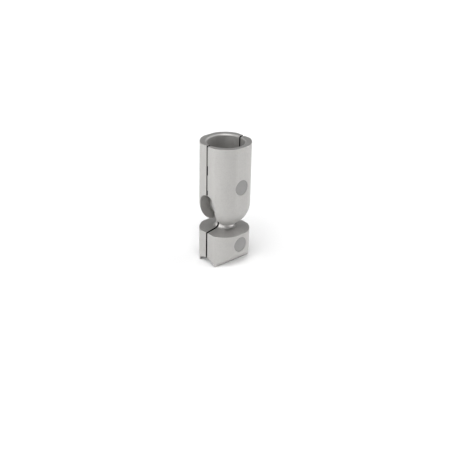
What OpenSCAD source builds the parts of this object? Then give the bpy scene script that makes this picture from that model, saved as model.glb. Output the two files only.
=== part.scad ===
// Ball joint fixing for round tube.
// A lower clamp sits on a crosswise tube and hooks into its grooves, a ball stud stands in it,
// and an upper clamp grips the ball and the end of a second tube.
// The origin is on the crown of the crosswise tube, under the fixing. X runs along that tube,
// Z goes up through the ball's centre, and both clamps are split on the plane Y = 0.
// The front halves, with the screw heads, are on the -Y side. The neck slot is on the -X side.

/* [Tubes] */
// Outside diameter of both round tubes
tube_d = 30; // [29:0.5:31]
// How deep a tube end goes into the upper clamp
bore_depth = 26.3; // [24:0.1:34]
// Wall of both clamps around a tube
wall = 5.4; // [5.2:0.1:7]
// Chamfer at the mouth of the upper bore
mouth_chamfer = 1; // [0.5:0.1:1.5]

/* [Outer flats] */
// Depth cut off the round section by the flats on the X sides
flat_x_cut = 1.5; // [1:0.1:1.7]
// Depth cut off the round section by the flats on the Y sides
flat_y_cut = 0.7; // [0.5:0.1:0.9]
// Gap between the two halves of each clamp
gap = 1.6; // [1.2:0.1:1.8]

/* [Ball and neck] */
// Diameter of the ball
ball_d = 25; // [24:0.5:25.5]
// Height of the ball's centre above the crosswise tube's crown
ball_z = 46; // [45.5:0.5:50]
// Radial clearance of the ball in its socket
ball_clear = 0.1; // [0.05:0.05:0.2]
// Diameter of the stud's neck
neck_d = 10.4; // [9:0.2:10.8]
// Diameter of the stud's foot
foot_d = 17.2; // [15:0.2:18]
// Thickness of the stud's foot
foot_t = 3; // [2.6:0.1:3]
// Running clearance of the foot and neck in the lower jaws
stud_clear = 0.1; // [0.05:0.05:0.1]

/* [Neck slot] */
// Width of the slot that the neck swings in
slot_w = 17.2; // [17:0.2:17.8]
// Height of the slot's round end above the ball's centre
slot_up = 0.7; // [0:0.1:1]
// Diameter of the opening at the bottom of the dome
opening_d = 19.2; // [18.4:0.2:20]

/* [Lower clamp] */
// Height of the lower clamp's outer rim
rim_z = 22.4; // [22.2:0.1:22.6]
// Outside diameter of the collar around the neck
collar_d = 13.4; // [13.2:0.1:14.4]
// Height of the collar's top
collar_z = 29.5; // [28.5:0.1:30]
// Radius of the flare between the collar and the top face
flare_r = 2.6; // [2.2:0.1:2.8]
// Angle from the crown where each hook lip starts
hook_from = 35; // [34:0.5:37]
// Angle from the crown where each hook lip ends
hook_to = 45; // [43:0.5:47]
// How far the hook lips reach into the tube's grooves
hook_depth = 1.4; // [1:0.1:1.8]

/* [Screws and caps] */
// Height of the lower clamp screw
lower_screw_z = 13.8; // [13.6:0.1:14]
// Height of the upper clamp screw above the ball's centre
upper_screw_rise = 17.5; // [17.3:0.1:17.9]
// Thread diameter of the clamp screws
screw_d = 6; // [5:0.5:6]
// Length of the clamp screws under the head
screw_l = 30; // [28:0.5:30]
// Diameter of the low screw head
head_d = 10; // [9:0.5:10]
// Height of the low screw head
head_h = 4; // [3.5:0.1:4]
// Width across the flats of the key socket
key_af = 4; // [3:0.5:5]
// Diameter of the caps over the screws and nuts
cap_d = 12.7; // [12.4:0.1:12.9]
// Thickness of the caps
cap_t = 2.2; // [1.8:0.1:2.2]
// Width across the flats of the hexagon nuts
nut_af = 10; // [9:0.5:10]
// Thickness of the hexagon nuts
nut_t = 5; // [4:0.1:5]

/* [Hidden] */
$fn = 96;

tube_r = tube_d / 2;
body_r = tube_r + wall;                 // round part of both clamps' outer section
flat_x = body_r - flat_x_cut;           // flats on the X sides
flat_y = body_r - flat_y_cut;           // flats on the Y sides
ball_r = ball_d / 2;
stop_z = ball_z + 24.5;                 // shoulder that the tube end meets
mouth_z = stop_z + bore_depth;          // top of the upper clamp
upper_screw_z = ball_z + upper_screw_rise;
slope = 9.3;                            // fall of the lower clamp's top face, degrees
foot_z = 18.6;                          // underside of the stud's foot
hex_deg = 30;

// Depths along the screw, measured from the split plane
cap_face = body_r - 1;                  // outer face of a cap, just inside the flat
ledge = cap_face - cap_t;               // ledge that a cap sits on
washer_t = 1.6;
washer_d = 11;
seat = ledge - 0.2 - head_h - washer_t; // seat of the washer
nut_seat = 10.4;                        // seat of the nut in the rear half
cap_hole_r = cap_d / 2 + 0.05;
head_hole_r = 5.8;
screw_hole_r = screw_d / 2 + 0.3;

cast = [0.73, 0.725, 0.715];
plastic = [0.6, 0.6, 0.6];
zinc = [0.76, 0.77, 0.78];
steel = [0.62, 0.62, 0.63];

// A cylinder along Y between two depths
module along_y(r, from, to, sides = 96, turn = 0)
    translate([0, from, 0]) rotate([-90, 0, 0]) rotate([0, 0, turn])
        cylinder(r = r, h = to - from, $fn = sides);

// Vertical bar with the outer section of both clamps
module outer_bar(low, high)
    intersection() {
        translate([0, 0, low]) cylinder(r = body_r, h = high - low);
        translate([-flat_x, -flat_y, low]) cube([2 * flat_x, 2 * flat_y, high - low]);
    }

// Everything on one side of the split: side 1 is the rear, side -1 the front
module half_space(side, low, high)
    translate([-40, side > 0 ? gap / 2 : -40 - gap / 2, low]) cube([80, 40, high - low]);

// ---- upper clamp ----

// Round bar with a half ball below it, cut by the four flats
module upper_outline()
    intersection() {
        union() {
            translate([0, 0, ball_z]) cylinder(r = body_r, h = mouth_z - ball_z);
            translate([0, 0, ball_z]) sphere(r = body_r, $fn = 128);
        }
        translate([-flat_x, -flat_y, ball_z - body_r - 1])
            cube([2 * flat_x, 2 * flat_y, mouth_z - ball_z + body_r + 1]);
    }

// Bore for the tube end, with a chamfered mouth
module tube_bore() {
    translate([0, 0, stop_z]) cylinder(r = tube_r, h = bore_depth + 1);
    translate([0, 0, mouth_z - mouth_chamfer])
        cylinder(r1 = tube_r, r2 = tube_r + mouth_chamfer + 0.5, h = mouth_chamfer + 0.5);
}

// Ball socket, the opening under it and the slot that the neck swings in
module ball_space() {
    translate([0, 0, ball_z]) sphere(r = ball_r + ball_clear, $fn = 128);
    translate([0, 0, ball_z - body_r - 2]) cylinder(r = opening_d / 2, h = body_r + 2);
    translate([-body_r - 5, 0, ball_z + slot_up]) rotate([0, 90, 0])
        cylinder(r = slot_w / 2, h = body_r + 5);
    translate([-body_r - 5, -slot_w / 2, ball_z - body_r - 2])
        cube([body_r + 5, slot_w, body_r + 2 + slot_up]);
}

// Holes on a screw's line in a front half
module head_pocket(z)
    translate([0, 0, z]) {
        along_y(screw_hole_r, -30, 1);
        along_y(head_hole_r, -30, -seat);
        along_y(cap_hole_r, -30, -ledge);
    }

// Holes on a screw's line in a rear half
module nut_pocket(z)
    translate([0, 0, z]) {
        along_y(screw_hole_r, -1, 30);
        along_y((nut_af + 0.2) / 2 / cos(30), nut_seat, 30, 6, hex_deg);
        along_y(cap_hole_r, ledge, 30);
    }

// Lips of the rear shell that close most of the split, with the open stretches between them
module split_lips() {
    w = 2.2;
    for (s = [-1, 1], span = [[ball_z + 13.4, stop_z + 1.7], [stop_z + 9.4, mouth_z - 1.2]])
        translate([s > 0 ? flat_x - 0.7 - w : -flat_x + 0.7, -gap / 2 + 0.15, span[0]])
            cube([w, gap + 0.2, span[1] - span[0]]);
    translate([flat_x - 0.7 - w, -gap / 2 + 0.15, ball_z + 1])
        cube([w, gap + 0.2, 13]);
}

module upper_rear_shell() color(cast) {
    difference() {
        intersection() {
            upper_outline();
            half_space(1, 0, 120);
        }
        tube_bore();
        ball_space();
        nut_pocket(upper_screw_z);
    }
    split_lips();
}

module upper_front_shell() color(cast)
    difference() {
        intersection() {
            upper_outline();
            half_space(-1, 0, 120);
        }
        tube_bore();
        ball_space();
        head_pocket(upper_screw_z);
    }

// ---- lower clamp ----

// Solid of revolution under the sloping top face, with the flare that runs up into the collar
module top_envelope() {
    cone_r = body_r + 0.2;
    fx = collar_d / 2 + flare_r;                                     // centre of the flare's arc
    fz = rim_z + (flare_r + (cone_r - fx) * sin(slope)) / cos(slope);
    rotate_extrude(convexity = 4) difference() {
        polygon([[0, -20], [cone_r, -20], [cone_r, rim_z],
                 [fx - flare_r * sin(slope), fz - flare_r * cos(slope)],
                 [fx, fz], [collar_d / 2, fz], [collar_d / 2, collar_z], [0, collar_z]]);
        translate([fx, fz]) circle(r = flare_r, $fn = 64);
    }
}

function on_tube(r, a) = [r * sin(a), -tube_r + r * cos(a)];
function under(y) = -tube_r + 3.9 + 0.724 * y;

// Side profile of a jaw: saddle arch, hook lip and rising underside
module jaw_profile() {
    lip = on_tube(tube_r - hook_depth, hook_to);
    root_y = lip[0] + 0.8;
    difference() {
        polygon([[gap / 2, 40], [flat_y, 40], [flat_y, under(flat_y)], [root_y, under(root_y)],
                 lip, on_tube(tube_r - hook_depth, hook_from - 4), [gap / 2, -8]]);
        intersection() {
            translate([0, -tube_r]) circle(r = tube_r, $fn = 128);
            polygon([[-2, -tube_r], [0, -tube_r], on_tube(tube_r + 6, hook_from), [-2, 8]]);
        }
    }
}

// The rear half of the lower clamp before its pockets are cut
module jaw_blank()
    difference() {
        intersection() {
            outer_bar(-10, 32);
            top_envelope();
            rotate([90, 0, 90]) translate([0, 0, -25]) linear_extrude(height = 50) jaw_profile();
        }
        translate([0, 0, foot_z - stud_clear])
            cylinder(d = foot_d + 2 * stud_clear, h = foot_t + 2 * stud_clear);
        translate([0, 0, foot_z]) cylinder(d = neck_d + 2 * stud_clear, h = 20);
    }

module lower_rear_jaw() color(cast)
    difference() {
        jaw_blank();
        nut_pocket(lower_screw_z);
    }

module lower_front_jaw() color(cast)
    difference() {
        mirror([0, 1, 0]) jaw_blank();
        head_pocket(lower_screw_z);
    }

// ---- ball stud ----

module ball_stud() color(steel) {
    translate([0, 0, foot_z]) cylinder(d = foot_d, h = foot_t);
    translate([0, 0, foot_z + 1]) cylinder(d = neck_d, h = ball_z - foot_z - 3);
    translate([0, 0, ball_z]) sphere(r = ball_r, $fn = 128);
}

// ---- screws, washers, nuts and caps, each at a screw's height ----

module clamp_screw(z) color(zinc)
    translate([0, 0, z]) difference() {
        union() {
            along_y(head_d / 2, -ledge + 0.2, -ledge + 0.2 + head_h);
            along_y(screw_d / 2, -ledge + head_h, -ledge + 0.2 + head_h + screw_l - 0.8);
            translate([0, -ledge + 0.2 + head_h + screw_l - 0.8, 0]) rotate([-90, 0, 0])
                cylinder(r1 = screw_d / 2, r2 = screw_d / 2 - 0.8, h = 0.8);
        }
        along_y(key_af / 2 / cos(30), -ledge - 1, -ledge + 0.2 + 2.2, 6, hex_deg);
    }

module washer(z) color(zinc)
    translate([0, 0, z]) difference() {
        along_y(washer_d / 2, -seat - washer_t, -seat);
        along_y(screw_d / 2 + 0.2, -seat - washer_t - 1, -seat + 1);
    }

module hex_nut(z) color(zinc)
    translate([0, 0, z]) difference() {
        along_y(nut_af / 2 / cos(30), nut_seat, nut_seat + nut_t, 6, hex_deg);
        along_y(screw_d / 2 + 0.06, nut_seat - 1, nut_seat + nut_t + 1);
    }

// Round cap with a flat face and a hollow back; side 1 is the rear, side -1 the front
module cap(z, side) color(plastic)
    translate([0, 0, z]) rotate([side > 0 ? -90 : 90, 0, 0]) difference() {
        translate([0, 0, ledge]) cylinder(d = cap_d, h = cap_t);
        translate([0, 0, ledge - 1]) cylinder(d = cap_d - 1.9, h = cap_t - 0.2);
    }

module upper_clamp_screw() clamp_screw(upper_screw_z);
module upper_washer() washer(upper_screw_z);
module upper_hex_nut() hex_nut(upper_screw_z);
module upper_front_cap() cap(upper_screw_z, -1);
module upper_rear_cap() cap(upper_screw_z, 1);
module lower_clamp_screw() clamp_screw(lower_screw_z);
module lower_washer() washer(lower_screw_z);
module lower_hex_nut() hex_nut(lower_screw_z);
module lower_front_cap() cap(lower_screw_z, -1);
module lower_rear_cap() cap(lower_screw_z, 1);

upper_rear_shell();
upper_front_shell();
upper_clamp_screw();
upper_washer();
upper_hex_nut();
upper_front_cap();
upper_rear_cap();
ball_stud();
lower_rear_jaw();
lower_front_jaw();
lower_clamp_screw();
lower_washer();
lower_hex_nut();
lower_front_cap();
lower_rear_cap();
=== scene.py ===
import math

import bpy
import numpy as np
from mathutils import Matrix, Vector


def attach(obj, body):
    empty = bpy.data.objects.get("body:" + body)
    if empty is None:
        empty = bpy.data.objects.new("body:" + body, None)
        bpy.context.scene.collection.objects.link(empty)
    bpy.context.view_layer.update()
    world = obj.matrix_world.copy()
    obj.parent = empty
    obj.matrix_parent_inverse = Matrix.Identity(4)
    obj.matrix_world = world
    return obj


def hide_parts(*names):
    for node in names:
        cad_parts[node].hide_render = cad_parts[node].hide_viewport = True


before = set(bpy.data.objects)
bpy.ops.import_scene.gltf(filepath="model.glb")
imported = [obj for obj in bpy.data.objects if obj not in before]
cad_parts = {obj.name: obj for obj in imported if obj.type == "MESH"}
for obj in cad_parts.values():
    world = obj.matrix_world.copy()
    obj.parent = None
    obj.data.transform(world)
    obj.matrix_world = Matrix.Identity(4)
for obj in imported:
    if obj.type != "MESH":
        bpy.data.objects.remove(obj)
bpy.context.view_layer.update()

MM = 0.001
scene = bpy.context.scene

# ---------------------------------------------------------------------------
# Camera: the photograph's viewing angle, in the row frame
# ---------------------------------------------------------------------------


def add_camera():
    azimuth, elevation, roll = (math.radians(v) for v in (-42.375, 26.364, 1.111))
    back = Vector(
        (
            math.sin(azimuth) * math.cos(elevation),
            -math.cos(azimuth) * math.cos(elevation),
            math.sin(elevation),
        )
    )
    level = Vector((math.cos(azimuth), math.sin(azimuth), 0.0))
    rise = back.cross(level)
    right = math.cos(roll) * level + math.sin(roll) * rise
    up = -math.sin(roll) * level + math.cos(roll) * rise
    data = bpy.data.cameras.new("camera")
    data.sensor_fit = "HORIZONTAL"
    data.sensor_width = 36.0
    data.lens = 840.605 / 452 * 36.0
    data.clip_start, data.clip_end = 0.05, 20.0
    camera = bpy.data.objects.new("camera", data)
    scene.collection.objects.link(camera)
    place = Vector((-0.412784, -0.454554, 0.327227))
    camera.matrix_world = Matrix(
        (
            (right.x, up.x, back.x, place.x),
            (right.y, up.y, back.y, place.y),
            (right.z, up.z, back.z, place.z),
            (0, 0, 0, 1),
        )
    )
    scene.camera = camera
    return camera


camera = add_camera()

# ---------------------------------------------------------------------------
# Shapes are distance fields in millimetres, negative inside the solid. A field
# takes coordinate arrays and is meshed by net(), so that each edge of a casting
# gets its true rounding in the mesh.
# ---------------------------------------------------------------------------


def both(a, b, r=0.0):
    """Where a and b overlap, with the edge between them rounded to radius r."""
    if r <= 0:
        return np.maximum(a, b)
    u, v = np.maximum(r + a, 0), np.maximum(r + b, 0)
    return np.minimum(-r, np.maximum(a, b)) + np.hypot(u, v)


def either(a, b, r=0.0):
    """a and b together, with a fillet of radius r in the corner between them."""
    if r <= 0:
        return np.minimum(a, b)
    u, v = np.maximum(r - a, 0), np.maximum(r - b, 0)
    return np.maximum(r, np.minimum(a, b)) - np.hypot(u, v)


def cut(a, b, r=0.0):
    """a with b taken out of it, and the new edge rounded."""
    return both(a, -b, r)


def block(x, y, z, lo, hi, r=0.0):
    """A box between two corners with rounded edges."""
    c = [(p + q) / 2 for p, q in zip(lo, hi)]
    e = [(q - p) / 2 - r for p, q in zip(lo, hi)]
    q = [np.abs(v - m) - n for v, m, n in zip((x, y, z), c, e)]
    out = np.sqrt(sum(np.maximum(v, 0) ** 2 for v in q))
    return out + np.minimum(np.maximum(np.maximum(q[0], q[1]), q[2]), 0) - r


def hexagon(u, v, af):
    """Flat distance to a hexagon whose corners point along u."""
    half, s = af / 2, math.sqrt(3) / 2
    v, u = np.abs(v), np.abs(u)
    return np.maximum(v, s * u + 0.5 * v) - half


CORNERS = [(i, j, k) for i in (0, 1) for j in (0, 1) for k in (0, 1)]
EDGES = [
    (a, b)
    for a in range(8)
    for b in range(a + 1, 8)
    if sum(p != q for p, q in zip(CORNERS[a], CORNERS[b])) == 1
]


def slope_of(field, p, e):
    g = np.empty_like(p)
    for i in range(3):
        a, b = p.copy(), p.copy()
        a[:, i] += e
        b[:, i] -= e
        g[:, i] = (field(*a.T) - field(*b.T)) / (2 * e)
    return g


def settle(field, p, reach, e=0.01, turns=3):
    """Moves points onto the surface, each no further than reach."""
    start = p.copy()
    for _ in range(turns):
        g = slope_of(field, p, e)
        p = p - (field(*p.T) / np.maximum((g * g).sum(1), 0.05))[:, None] * g
        off = p - start
        far = np.linalg.norm(off, axis=1)
        p = start + off * np.minimum(1, reach / np.maximum(far, 1e-9))[:, None]
    return p


def net(field, lo, hi, h):
    """Surface net of a field: (points, quads), one point in each cell that the surface passes."""
    lo, hi = np.array(lo, float), np.array(hi, float)
    n = np.ceil((hi - lo) / h).astype(int) + 1
    ax = [lo[i] + h * np.arange(n[i]) + 0.37 * h for i in range(3)]
    v = np.empty(n, np.float32)
    for a in range(0, n[0], 24):
        v[a : a + 24] = field(
            ax[0][a : a + 24, None, None], ax[1][None, :, None], ax[2][None, None, :]
        )
    inside = v < 0
    count = np.zeros(n - 1, np.uint8)
    for i, j, k in CORNERS:
        count += inside[i : i + n[0] - 1, j : j + n[1] - 1, k : k + n[2] - 1]
    cells = np.argwhere((count > 0) & (count < 8))
    index = np.full(n - 1, -1, np.int64)
    index[tuple(cells.T)] = np.arange(len(cells))
    values = [v[tuple((cells + c).T)].astype(float) for c in CORNERS]
    corner = np.array([a[0] for a in ax]) + h * cells
    total, hits, found = np.zeros((len(cells), 3)), np.zeros(len(cells)), []
    for a, b in EDGES:
        rows = np.flatnonzero((values[a] < 0) != (values[b] < 0))
        t = values[a][rows] / (values[a][rows] - values[b][rows])
        step = np.array(CORNERS[b]) - np.array(CORNERS[a])
        at = corner[rows] + h * (np.array(CORNERS[a]) + t[:, None] * step)
        total[rows] += at
        hits[rows] += 1
        found.append((rows, at))
    points = total / hits[:, None]
    # each point goes where the surfaces that pass its cell meet, so edges stay crisp
    square, pull = np.zeros((len(cells), 3, 3)), np.zeros((len(cells), 3))
    for rows, at in found:
        g = slope_of(field, at, 0.01)
        g /= np.maximum(np.linalg.norm(g, axis=1), 1e-9)[:, None]
        square[rows] += g[:, :, None] * g[:, None, :]
        pull[rows] += g * (g * (at - points[rows])).sum(1)[:, None]
    move = np.linalg.solve(square + 0.06 * np.eye(3), pull[:, :, None])[:, :, 0]
    far = np.linalg.norm(move, axis=1)
    points += move * np.minimum(1, 0.7 * h / np.maximum(far, 1e-9))[:, None]
    quads = []
    for axis in range(3):
        o, p = (axis + 1) % 3, (axis + 2) % 3
        first = [slice(None)] * 3
        second = [slice(None)] * 3
        first[axis], second[axis] = slice(0, n[axis] - 1), slice(1, n[axis])
        a, b = inside[tuple(first)], inside[tuple(second)]
        at = np.argwhere(a != b)
        at = at[(at[:, o] > 0) & (at[:, p] > 0) & (at[:, o] < n[o] - 1) & (at[:, p] < n[p] - 1)]
        out = a[tuple(at.T)]
        ring = []
        for do, dp in ((-1, -1), (0, -1), (0, 0), (-1, 0)):
            c = at.copy()
            c[:, o] += do
            c[:, p] += dp
            ring.append(index[tuple(c.T)])
        ring = np.stack(ring, 1)
        ring[~out] = ring[~out][:, ::-1]
        quads.append(ring)
    return settle(field, points, 0.4 * h), np.concatenate(quads)


def bend_at(field, p, e):
    """How the surface bends at each point: above 0 on an outer edge, below 0 in a corner."""
    around = sum(field(*(p + s * e * d).T) for s in (1, -1) for d in np.eye(3))
    return np.clip((around - 6 * field(*p.T)) / e, -1, 1)


def unit(v):
    return v / np.maximum(np.linalg.norm(v, axis=-1), 1e-9)[..., None]


def corner_normals(field, mesh, p):
    """A normal for each face corner: that of the surface, or the face's own side at a crease."""
    count = len(mesh.loops)
    at, face = np.empty(count, np.int32), np.empty(count, np.int32)
    mesh.loops.foreach_get("vertex_index", at)
    sides = np.empty(len(mesh.polygons), np.int32)
    mesh.polygons.foreach_get("loop_total", sides)
    face[:] = np.repeat(np.arange(len(sides)), sides)
    middle = np.stack([np.bincount(face, p[at, i]) for i in range(3)], 1) / sides[:, None]
    smooth = unit(slope_of(field, p, 0.02))[at]
    inward = middle[face] - p[at]
    length = np.linalg.norm(inward, axis=1)
    inward *= np.minimum(0.6, 0.3 / np.maximum(length, 1e-9))[:, None]
    own = unit(slope_of(field, p[at] + inward, 0.02))
    crease = (smooth * own).sum(1) < math.cos(math.radians(8))
    return np.where(crease[:, None], own, smooth)


def new_mesh(name, points, faces):
    mesh = bpy.data.meshes.new(name)
    mesh.vertices.add(len(points))
    mesh.vertices.foreach_set("co", np.asarray(points, np.float32).ravel())
    sides = faces.shape[1]
    mesh.loops.add(faces.size)
    mesh.loops.foreach_set("vertex_index", faces.ravel().astype(np.int32))
    mesh.polygons.add(len(faces))
    mesh.polygons.foreach_set("loop_start", np.arange(0, faces.size, sides, dtype=np.int32))
    mesh.update(calc_edges=True)
    mesh.validate()
    return mesh


def piece(name, node, body, field, lo, hi, h, material, keep=None):
    """Meshes a field, thins the flat areas, and stands the result in for a CAD node."""
    points, quads = net(field, lo, hi, h)
    mesh = new_mesh(name, points * MM, quads)
    ob = bpy.data.objects.new(name, mesh)
    scene.collection.objects.link(ob)
    if keep:
        near = np.flatnonzero(np.abs(bend_at(field, points, 0.5)) > 0.1)
        # enough points are kept for the edges, or the thinning would eat into them
        keep = min(max(keep, 0.04 + 1.25 * len(near) / len(points)), 95000 / len(points), 1.0)
        group = ob.vertex_groups.new(name="near_edges")
        group.add([int(i) for i in near], 1.0, "REPLACE")
        thin = ob.modifiers.new("thin", "DECIMATE")
        thin.vertex_group = "near_edges"
        thin.invert_vertex_group = True
        thin.ratio = keep
        thin.use_collapse_triangulate = True
        seen = ob.evaluated_get(bpy.context.evaluated_depsgraph_get())
        mesh = bpy.data.meshes.new_from_object(seen)
        ob.modifiers.clear()
        ob.vertex_groups.clear()
        ob.data = mesh
        mesh.name = name
    co = np.empty(len(mesh.vertices) * 3, np.float32)
    mesh.vertices.foreach_get("co", co)
    p = settle(field, co.reshape(-1, 3).astype(float) / MM, 0.5 * h)
    mesh.vertices.foreach_set("co", (p * MM).astype(np.float32).ravel())
    layer = mesh.attributes.new("bend", "FLOAT", "POINT")
    layer.data.foreach_set("value", bend_at(field, p, 0.3).astype(np.float32))
    mesh.polygons.foreach_set("use_smooth", np.ones(len(mesh.polygons), bool))
    mesh.update()
    mesh.normals_split_custom_set(corner_normals(field, mesh, p).astype(np.float32))
    mesh.materials.append(material)
    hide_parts(node)
    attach(ob, body)
    print(name, len(mesh.vertices), "points", len(mesh.polygons), "faces")
    return ob


# ---------------------------------------------------------------------------
# Sizes, in millimetres, as in the construction
# ---------------------------------------------------------------------------

BODY_R, FLAT_X, FLAT_Y, HALF_GAP = 20.4, 18.9, 19.7, 0.8
TUBE_R, STOP_Z, MOUTH_Z = 15.0, 70.5, 96.8
BALL_R, BALL_Z, SOCKET_R = 12.5, 46.0, 12.6
SLOT_R, SLOT_UP, OPENING_R = 8.6, 0.7, 9.6
UPPER_SCREW, LOWER_SCREW = 63.5, 13.8
CAP_FACE, LEDGE, SEAT, NUT_SEAT = 19.4, 17.2, 11.4, 10.4
RIM_Z, COLLAR_R, COLLAR_Z, FLARE_R, FALL = 22.4, 6.7, 29.5, 2.6, math.radians(9.3)
FOOT_Z, FOOT_T, FOOT_R, NECK_R = 18.6, 3.0, 8.6, 5.2


def head_pocket(x, y, z, screw_z):
    """Screw hole, head pocket and cap recess, for depths y counted from the split."""
    r = np.hypot(x, z - screw_z)
    hole = r - 3.3
    head = np.maximum(r - 5.8, SEAT - y)
    recess = np.maximum(r - 6.4, LEDGE - y)
    return np.minimum(np.minimum(hole, head), recess)


def nut_pocket(x, y, z, screw_z):
    r = np.hypot(x, z - screw_z)
    hole = r - 3.3
    nest = np.maximum(hexagon(z - screw_z, x, 10.2), NUT_SEAT - y)
    recess = np.maximum(r - 6.4, LEDGE - y)
    return np.minimum(np.minimum(hole, nest), recess)


def upper_half(pocket, side):
    def field(x, y, z):
        y = y * side
        rho = np.hypot(x, y)
        from_ball = np.sqrt(rho**2 + (z - BALL_Z) ** 2)
        round_wall = np.where(z > BALL_Z, rho, from_ball) - BODY_R
        f = both(round_wall, np.abs(x) - FLAT_X, 0.35)
        f = both(f, y - FLAT_Y, 0.35)
        f = both(f, z - MOUTH_Z, 0.15)
        bore = np.maximum(rho - TUBE_R, STOP_Z - z)
        mouth = np.maximum((rho - TUBE_R - z + MOUTH_Z - 1) / math.sqrt(2), MOUTH_Z - 1.5 - z)
        opening = np.maximum(rho - OPENING_R, z - BALL_Z)
        up = z - BALL_Z - SLOT_UP
        slot = np.maximum(np.hypot(y, np.maximum(up, 0)) - SLOT_R, x)
        space = np.minimum(np.minimum(bore, mouth), np.minimum(opening, slot))
        space = either(space, from_ball - SOCKET_R)
        f = cut(f, space, 0.12)
        f = both(f, HALF_GAP - y, 0.12)
        f = cut(f, pocket(x, y, z, UPPER_SCREW), 0.1)
        return f

    return field


def split_lips(x, y, z):
    """The rear half's lips, which close most of the split just inside the wall."""
    out = None
    for sign in (-1, 1):
        spans = [(59.4, 72.2), (79.9, 95.6)] + ([(47, 60)] if sign > 0 else [])
        for a, b in spans:
            xa, xb = sorted((sign * 16.0, sign * 18.2))
            one = block(x, y, z, (xa, -0.65, a), (xb, 1.4, b), 0.12)
            out = one if out is None else np.minimum(out, one)
    return out


def upper_rear(x, y, z):
    return np.minimum(upper_half(nut_pocket, 1)(x, y, z), split_lips(x, y, z))


def jaw_half(pocket, side):
    hook_a, hook_b, lip_r = math.radians(35), math.radians(45), TUBE_R - 1.4
    ly, lz = lip_r * math.sin(hook_b), -TUBE_R + lip_r * math.cos(hook_b)
    ry = ly + 0.8
    rz = -11.1 + 0.724 * ry
    length = math.hypot(ry - ly, rz - lz)
    ny, nz = (rz - lz) / length, -(ry - ly) / length
    flat = math.hypot(1, 0.724)

    def field(x, y, z):
        y = y * side
        rho = np.hypot(x, y)
        top = (z - RIM_Z - (BODY_R + 0.2 - rho) * math.tan(FALL)) * math.cos(FALL)
        collar = both(rho - COLLAR_R, z - COLLAR_Z, 0.4)
        top = either(top, collar, FLARE_R)
        f = both(rho - BODY_R, np.abs(x) - FLAT_X, 0.35)
        f = both(f, y - FLAT_Y, 0.35)
        f = both(f, top, 0.15)
        from_tube = np.hypot(y, z + TUBE_R)
        hook = np.maximum(
            (z + TUBE_R) * math.sin(hook_a) - y * math.cos(hook_a), lip_r - from_tube
        )
        hook = both(hook, (y - ly) * ny + (z - lz) * nz, 0.15)
        hook = both(f, np.maximum(hook, from_tube - TUBE_R - 1.5), 0.15)
        saddle = both(f, (-11.1 + 0.724 * y - z) / flat, 2.0)
        f = either(both(saddle, TUBE_R - from_tube, 0.15), hook, 0.1)
        foot = np.maximum(rho - FOOT_R - 0.1, np.abs(z - FOOT_Z - FOOT_T / 2) - FOOT_T / 2 - 0.1)
        neck = np.maximum(rho - NECK_R - 0.1, FOOT_Z - z)
        f = cut(f, np.minimum(foot, neck), 0.3)
        f = both(f, HALF_GAP - y, 0.12)
        f = cut(f, pocket(x, y, z, LOWER_SCREW), 0.1)
        return f

    return field


def stud(x, y, z):
    rho = np.hypot(x, y)
    ball = np.sqrt(rho**2 + (z - BALL_Z) ** 2) - BALL_R
    neck = np.maximum(rho - NECK_R, np.abs(z - 30) - 10.5)
    foot = both(rho - FOOT_R, np.abs(z - FOOT_Z - FOOT_T / 2) - FOOT_T / 2, 0.4)
    f = either(ball, neck, 0.8)
    return either(f, foot, 0.08)


def cap(screw_z, side):
    def field(x, y, z):
        y = y * side
        r = np.hypot(x, z - screw_z)
        f = both(r - 6.35, np.abs(y - (CAP_FACE + LEDGE) / 2) - (CAP_FACE - LEDGE) / 2, 0.15)
        hollow = np.maximum(r - 5.4, y - CAP_FACE + 1.2)
        return cut(f, hollow, 0.15)

    return field


def screw(screw_z):
    def field(x, y, z):
        z = z - screw_z
        r = np.hypot(x, z)
        turn = np.arctan2(z, x) / (2 * math.pi)
        head = both(r - 5.0 + 0.09 * np.cos(np.arctan2(z, x) * 48), np.abs(y + 15) - 2.0, 0.35)
        wave = np.abs(((y - turn) % 1.0) * 2 - 1)
        groove = 0.55 * np.clip(wave * 1.2 - 0.1, 0, 1) * np.clip((y + 5) / 1.5, 0, 1)
        shank = both((r - 3.0 + groove) * 0.7, np.abs(y - 1.5) - 15.5, 0.3)
        end = (r + y - 17 - 2.4) / math.sqrt(2)
        shank = both(shank, end, 0.1)
        f = either(head, shank, 0.25)
        socket = np.maximum(hexagon(z, x, 4.0), y + 14.8)
        cone = (r + (y + 17.0) * 0.9 - 2.5) / 1.35
        return cut(f, np.minimum(socket, cone), 0.06)

    return field


def washer(screw_z):
    def field(x, y, z):
        r = np.hypot(x, z - screw_z)
        f = both(r - 5.5, np.abs(y + 12.2) - 0.8, 0.12)
        return cut(f, r - 3.2, 0.12)

    return field


def nut(screw_z):
    def field(x, y, z):
        z = z - screw_z
        r = np.hypot(x, z)
        f = both(hexagon(z, x, 10.0), np.abs(y - 12.9) - 2.5, 0.08)
        f = both(f, (r - 5.0) * math.sin(math.radians(30)) + (y - 15.4) * math.cos(math.radians(30)), 0.05)
        f = both(f, (r - 5.0) * math.sin(math.radians(30)) - (y - 10.4) * math.cos(math.radians(30)), 0.05)
        turn = np.arctan2(z, x) / (2 * math.pi)
        wave = np.abs(((y - turn) % 1.0) * 2 - 1)
        hole = (r - 3.06 - 0.3 * np.clip(1 - wave * 1.3, 0, 1)) * 0.7
        hole = np.minimum(hole, (r - 3.5 + (15.4 - y)) / math.sqrt(2))
        return cut(f, hole, 0.05)

    return field


# ---------------------------------------------------------------------------
# Materials
# ---------------------------------------------------------------------------


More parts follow.
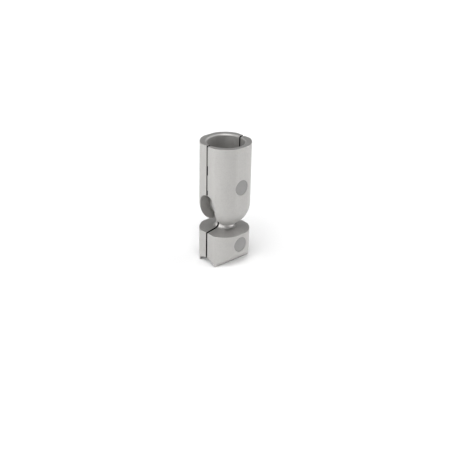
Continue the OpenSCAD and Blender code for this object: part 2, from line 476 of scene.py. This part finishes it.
def material(name, colour, metallic, roughness):
    m = bpy.data.materials.new(name)
    m.use_nodes = True
    t = m.node_tree
    t.nodes.clear()
    out = t.nodes.new("ShaderNodeOutputMaterial")
    shader = t.nodes.new("ShaderNodeBsdfPrincipled")
    t.links.new(shader.outputs[0], out.inputs[0])
    shader.inputs["Base Color"].default_value = (*colour, 1)
    shader.inputs["Metallic"].default_value = metallic
    shader.inputs["Roughness"].default_value = roughness
    return m, t, shader


def node(t, kind, inputs=None, **settings):
    n = t.nodes.new(kind)
    for k, v in settings.items():
        setattr(n, k, v)
    for k, v in (inputs or {}).items():
        if isinstance(v, bpy.types.NodeSocket):
            t.links.new(v, n.inputs[k])
        else:
            n.inputs[k].default_value = v
    return n


def noise(t, where, scale, detail=2.0, rough=0.5):
    n = node(t, "ShaderNodeTexNoise", {"Vector": where, "Scale": scale, "Detail": detail, "Roughness": rough})
    return n.outputs["Fac"]


def ranged(t, value, a, b, lo, hi):
    n = node(
        t,
        "ShaderNodeMapRange",
        {"Value": value, "From Min": a, "From Max": b, "To Min": lo, "To Max": hi},
        clamp=True,
    )
    return n.outputs["Result"]


def mixed(t, factor, a, b, blend="MIX"):
    n = node(t, "ShaderNodeMix", data_type="RGBA", blend_type=blend)
    for socket, v in ((n.inputs["Factor"], factor), (n.inputs[6], a), (n.inputs[7], b)):
        if isinstance(v, bpy.types.NodeSocket):
            t.links.new(v, socket)
        else:
            socket.default_value = v if isinstance(v, (int, float)) else (*v, 1)
    return n.outputs[2]


def maths(t, op, a, b):
    n = node(t, "ShaderNodeMath", {0: a, 1: b}, operation=op)
    return n.outputs[0]


def object_space(t):
    return node(t, "ShaderNodeTexCoord").outputs["Object"]


def bend_of(t):
    return node(t, "ShaderNodeAttribute", attribute_name="bend").outputs["Fac"]


def casting_material():
    base = (0.409, 0.402, 0.391)
    m, t, shader = material("cast_grey", base, 0.85, 0.45)
    where = object_space(t)
    grain = noise(t, where, 2600, 3, 0.6)
    fleck = noise(t, where, 900, 2, 0.6)
    blotch = noise(t, where, 260, 3, 0.55)
    cloud = noise(t, where, 45, 2, 0.5)
    bend = bend_of(t)
    colour = mixed(t, ranged(t, cloud, 0.3, 0.7, 0, 1), tuple(v * 0.965 for v in base), tuple(v * 1.03 for v in base))
    colour = mixed(t, ranged(t, blotch, 0.62, 0.74, 0, 0.45), colour, tuple(v * 0.88 for v in base))
    colour = mixed(t, ranged(t, fleck, 0.50, 0.72, 0, 0.34), colour, tuple(v * 0.84 for v in base))
    colour = mixed(t, ranged(t, fleck, 0.28, 0.50, 0.26, 0), colour, tuple(v * 1.16 for v in base))
    colour = mixed(t, ranged(t, grain, 0.35, 0.65, 0, 0.45), colour, tuple(v * 1.12 for v in base))
    colour = mixed(t, ranged(t, bend, 0.15, 0.8, 0, 0.25), colour, (0.53, 0.52, 0.51))
    # painted shade: corners and creases (bend below 0) are darkened for the shade that falls in them
    colour = mixed(t, ranged(t, bend, -0.7, -0.1, 0.35, 0), colour, tuple(v * 0.72 for v in base))
    # painted shade: the split faces near |y| = 0.8 mm are painted almost black for the shade inside the split, and
    # the lips between them keep the casting colour
    depth = maths(t, "ABSOLUTE", node(t, "ShaderNodeSeparateXYZ", {0: where}).outputs["Y"], 0.0)
    split_shade = maths(t, "MULTIPLY", ranged(t, depth, 0.00084, 0.00092, 1, 0), ranged(t, depth, 0.00066, 0.00072, 0, 1))
    colour = mixed(t, split_shade, colour, (0.035, 0.034, 0.033))
    t.links.new(colour, shader.inputs["Base Color"])
    rough = ranged(t, grain, 0.3, 0.7, 0.44, 0.56)
    rough = maths(t, "ADD", rough, ranged(t, blotch, 0.3, 0.7, -0.04, 0.04))
    rough = maths(t, "SUBTRACT", rough, ranged(t, bend, 0.15, 0.8, 0, 0.10))
    t.links.new(rough, shader.inputs["Roughness"])
    height = maths(t, "ADD", maths(t, "MULTIPLY", grain, 0.6), maths(t, "MULTIPLY", blotch, 0.9))
    bump = node(t, "ShaderNodeBump", {"Strength": 0.45, "Distance": 0.00006, "Height": height})
    t.links.new(bump.outputs[0], shader.inputs["Normal"])
    return m


def plastic_material():
    base = (0.201, 0.199, 0.195)
    m, t, shader = material("cap_grey", base, 0.0, 0.55)
    where = object_space(t)
    grain = noise(t, where, 3200, 2, 0.5)
    cloud = noise(t, where, 120, 2, 0.5)
    bend = bend_of(t)
    colour = mixed(t, ranged(t, cloud, 0.3, 0.7, 0, 1), tuple(v * 0.95 for v in base), tuple(v * 1.05 for v in base))
    colour = mixed(t, ranged(t, bend, 0.2, 0.9, 0, 0.4), colour, (0.25, 0.25, 0.25))
    t.links.new(colour, shader.inputs["Base Color"])
    t.links.new(ranged(t, grain, 0.3, 0.7, 0.48, 0.62), shader.inputs["Roughness"])
    bump = node(t, "ShaderNodeBump", {"Strength": 0.3, "Distance": 0.00004, "Height": grain})
    t.links.new(bump.outputs[0], shader.inputs["Normal"])
    return m


def zinc_material():
    base = (0.62, 0.64, 0.67)
    m, t, shader = material("bright_zinc", base, 1.0, 0.3)
    where = object_space(t)
    grain = noise(t, where, 1500, 3, 0.6)
    cloud = noise(t, where, 180, 3, 0.5)
    bend = bend_of(t)
    colour = mixed(t, ranged(t, cloud, 0.35, 0.65, 0, 1), (0.56, 0.59, 0.63), (0.68, 0.68, 0.66))
    # painted shade: thread roots, corners and creases (bend below 0) are darkened for the shade that falls in them
    colour = mixed(t, ranged(t, bend, -0.8, -0.1, 0.5, 0), colour, (0.3, 0.3, 0.3))
    t.links.new(colour, shader.inputs["Base Color"])
    t.links.new(ranged(t, cloud, 0.3, 0.7, 0.22, 0.38), shader.inputs["Roughness"])
    bump = node(t, "ShaderNodeBump", {"Strength": 0.25, "Distance": 0.00004, "Height": grain})
    t.links.new(bump.outputs[0], shader.inputs["Normal"])
    return m


def stud_material():
    base = (0.40, 0.395, 0.385)
    m, t, shader = material("turned_steel", base, 0.9, 0.4)
    where = object_space(t)
    flat = node(t, "ShaderNodeMapping", {"Vector": where, "Scale": (0.02, 0.02, 1.0)})
    rings = noise(t, flat.outputs[0], 9000, 2, 0.6)
    grain = noise(t, where, 1800, 3, 0.6)
    cloud = noise(t, where, 150, 2, 0.5)
    bend = bend_of(t)
    colour = mixed(t, ranged(t, cloud, 0.3, 0.7, 0, 1), tuple(v * 0.93 for v in base), tuple(v * 1.07 for v in base))
    # painted shade: corners and fillets (bend below 0) are darkened for the shade that falls in them
    colour = mixed(t, ranged(t, bend, -0.8, -0.1, 0.5, 0), colour, (0.2, 0.2, 0.2))
    t.links.new(colour, shader.inputs["Base Color"])
    rough = maths(t, "ADD", ranged(t, rings, 0.3, 0.7, 0.33, 0.43), ranged(t, grain, 0.3, 0.7, -0.03, 0.03))
    t.links.new(rough, shader.inputs["Roughness"])
    height = maths(t, "ADD", maths(t, "MULTIPLY", rings, 1.0), maths(t, "MULTIPLY", grain, 0.4))
    bump = node(t, "ShaderNodeBump", {"Strength": 0.3, "Distance": 0.00003, "Height": height})
    t.links.new(bump.outputs[0], shader.inputs["Normal"])
    return m


CAST, PLASTIC, ZINC, STUD = casting_material(), plastic_material(), zinc_material(), stud_material()

# ---------------------------------------------------------------------------
# Pieces
# ---------------------------------------------------------------------------

R = BODY_R + 1
fine = 0.21
small = 0.18

piece("upper_rear_casting", "upper_rear_shell", "upper_rear", upper_rear,
      (-R, -1, 24), (R, R, MOUTH_Z + 1), fine, CAST, 0.3)
piece("upper_front_casting", "upper_front_shell", "upper_front", upper_half(head_pocket, -1),
      (-R, -R, 24), (R, 0, MOUTH_Z + 1), fine, CAST, 0.3)
piece("lower_rear_casting", "lower_rear_jaw", "lower_rear", jaw_half(nut_pocket, 1),
      (-R, 0, -7), (R, R, 31), fine, CAST, 0.3)
piece("lower_front_casting", "lower_front_jaw", "lower_front", jaw_half(head_pocket, -1),
      (-R, -R, -7), (R, 0, 31), fine, CAST, 0.3)
piece("stud_with_ball", "ball_stud", "ball_stud", stud,
      (-13.5, -13.5, 17.5), (13.5, 13.5, 59.5), 0.35, STUD, 0.5)

for level, z in (("upper", UPPER_SCREW), ("lower", LOWER_SCREW)):
    piece(f"{level}_front_cover_disc", f"{level}_front_cap", f"{level}_front_cap", cap(z, -1),
          (-7.5, -20.5, z - 7.5), (7.5, -16, z + 7.5), small, PLASTIC, 0.5)
    piece(f"{level}_rear_cover_disc", f"{level}_rear_cap", f"{level}_rear_cap", cap(z, 1),
          (-7.5, 16, z - 7.5), (7.5, 20.5, z + 7.5), small, PLASTIC, 0.5)
    piece(f"{level}_socket_screw", f"{level}_clamp_screw", f"{level}_screw", screw(z),
          (-6, -18, z - 6), (6, 18, z + 6), small * 0.8, ZINC, 0.6)
    piece(f"{level}_flat_washer", f"{level}_washer", f"{level}_screw", washer(z),
          (-6.5, -14, z - 6.5), (6.5, -10.5, z + 6.5), small, ZINC, 0.5)
    piece(f"{level}_nut", f"{level}_hex_nut", f"{level}_rear", nut(z),
          (-7, 9.5, z - 7), (7, 16.5, z + 7), small * 0.8, ZINC, 0.6)

# ---------------------------------------------------------------------------
# Floor, lights and world
# ---------------------------------------------------------------------------

FLOOR_Z = -5.38 * MM


def add_floor():
    n, half = 24, 3.0
    grid = np.linspace(-half, half, n + 1)
    points = np.array([(x, y, FLOOR_Z) for x in grid for y in grid])
    faces = np.array(
        [
            (i * (n + 1) + j, (i + 1) * (n + 1) + j, (i + 1) * (n + 1) + j + 1, i * (n + 1) + j + 1)
            for i in range(n)
            for j in range(n)
        ]
    )
    mesh = new_mesh("floor", points, faces)
    floor = bpy.data.objects.new("floor", mesh)
    scene.collection.objects.link(floor)
    m, t, shader = material("pale_floor", (0.86, 0.86, 0.86), 0.0, 0.85)
    mesh.materials.append(m)
    return floor


def add_backdrop():
    """A white wall far out all round, so that a low view ends in plain white."""
    n, reach, top = 96, 2.9, 5.0
    turn = np.linspace(0, 2 * math.pi, n, endpoint=False)
    ring = np.stack([reach * np.cos(turn), reach * np.sin(turn)], 1)
    points = np.concatenate(
        [np.column_stack([ring, np.full(n, FLOOR_Z - 0.001)]), np.column_stack([ring, np.full(n, top)])]
    )
    faces = np.array([(i, (i + 1) % n, n + (i + 1) % n, n + i) for i in range(n)])
    mesh = new_mesh("backdrop", points, faces)
    wall = bpy.data.objects.new("backdrop", mesh)
    scene.collection.objects.link(wall)
    m, t, shader = material("backdrop_white", (1.0, 1.0, 1.0), 0.0, 1.0)
    shader.inputs["Emission Color"].default_value = (1, 1, 1, 1)
    shader.inputs["Emission Strength"].default_value = 1.0
    mesh.materials.append(m)
    wall.visible_diffuse = wall.visible_glossy = wall.visible_transmission = wall.visible_shadow = False
    return wall


add_floor()
add_backdrop()


def add_sun(name, toward, angle, strength, colour=(1, 1, 1)):
    """A soft distant light that comes from the direction toward."""
    data = bpy.data.lights.new(name, "SUN")
    data.angle = math.radians(angle)
    data.energy = strength
    data.color = colour
    light = bpy.data.objects.new(name, data)
    scene.collection.objects.link(light)
    light.matrix_world = Vector(toward).to_track_quat("Z", "Y").to_matrix().to_4x4()
    return light


add_sun("top", (0.05, 0.0, 1.0), 80, 0.94)
add_sun("key", (-0.65, -0.60, 1.05), 55, 1.95)
add_sun("left", (-1.0, 0.15, 0.22), 65, 1.4)
add_sun("left_front", (-0.9, -0.45, 0.30), 45, 0.38)
add_sun("left_back", (-0.72, 0.60, 0.12), 60, 1.8)
add_sun("right_front", (0.75, -0.75, 0.35), 50, 0.34)
add_sun("right", (0.85, -0.50, 0.15), 50, 1.75)


def set_world():
    world = bpy.data.worlds.new("studio")
    scene.world = world
    world.use_nodes = True
    t = world.node_tree
    t.nodes.clear()
    out = t.nodes.new("ShaderNodeOutputWorld")
    back = t.nodes.new("ShaderNodeBackground")
    t.links.new(back.outputs[0], out.inputs[0])
    way = node(t, "ShaderNodeTexCoord").outputs["Generated"]
    height = node(t, "ShaderNodeSeparateXYZ", {0: way}).outputs["Z"]
    across = node(t, "ShaderNodeVectorMath", {0: way, 1: (0.3725, -0.334, 0.0)}, operation="DOT_PRODUCT")
    aside = maths(t, "ADD", across.outputs["Value"], 0.5)
    sky = []
    for shades in (((0.0, 0.0), (0.18, 0.65), (0.45, 0.0), (1.0, 0.0)),
                   ((0.0, 0.0), (0.18, 0.93), (0.45, 0.28), (1.0, 0.0))):
        ramp = node(t, "ShaderNodeValToRGB", {"Fac": height})
        stops = ramp.color_ramp.elements
        stops[0].position, stops[1].position = shades[0][0], shades[-1][0]
        for at, _ in shades[1:-1]:
            stops.new(at)
        for stop, (_, v) in zip(stops, shades):
            stop.color = (v, v, v * 1.01, 1)
        sky.append(ramp.outputs[0])
    t.links.new(mixed(t, aside, *sky), back.inputs["Color"])
    back.inputs["Strength"].default_value = 1.0


set_world()
scene.view_settings.view_transform = "Standard"
scene.view_settings.look = "None"
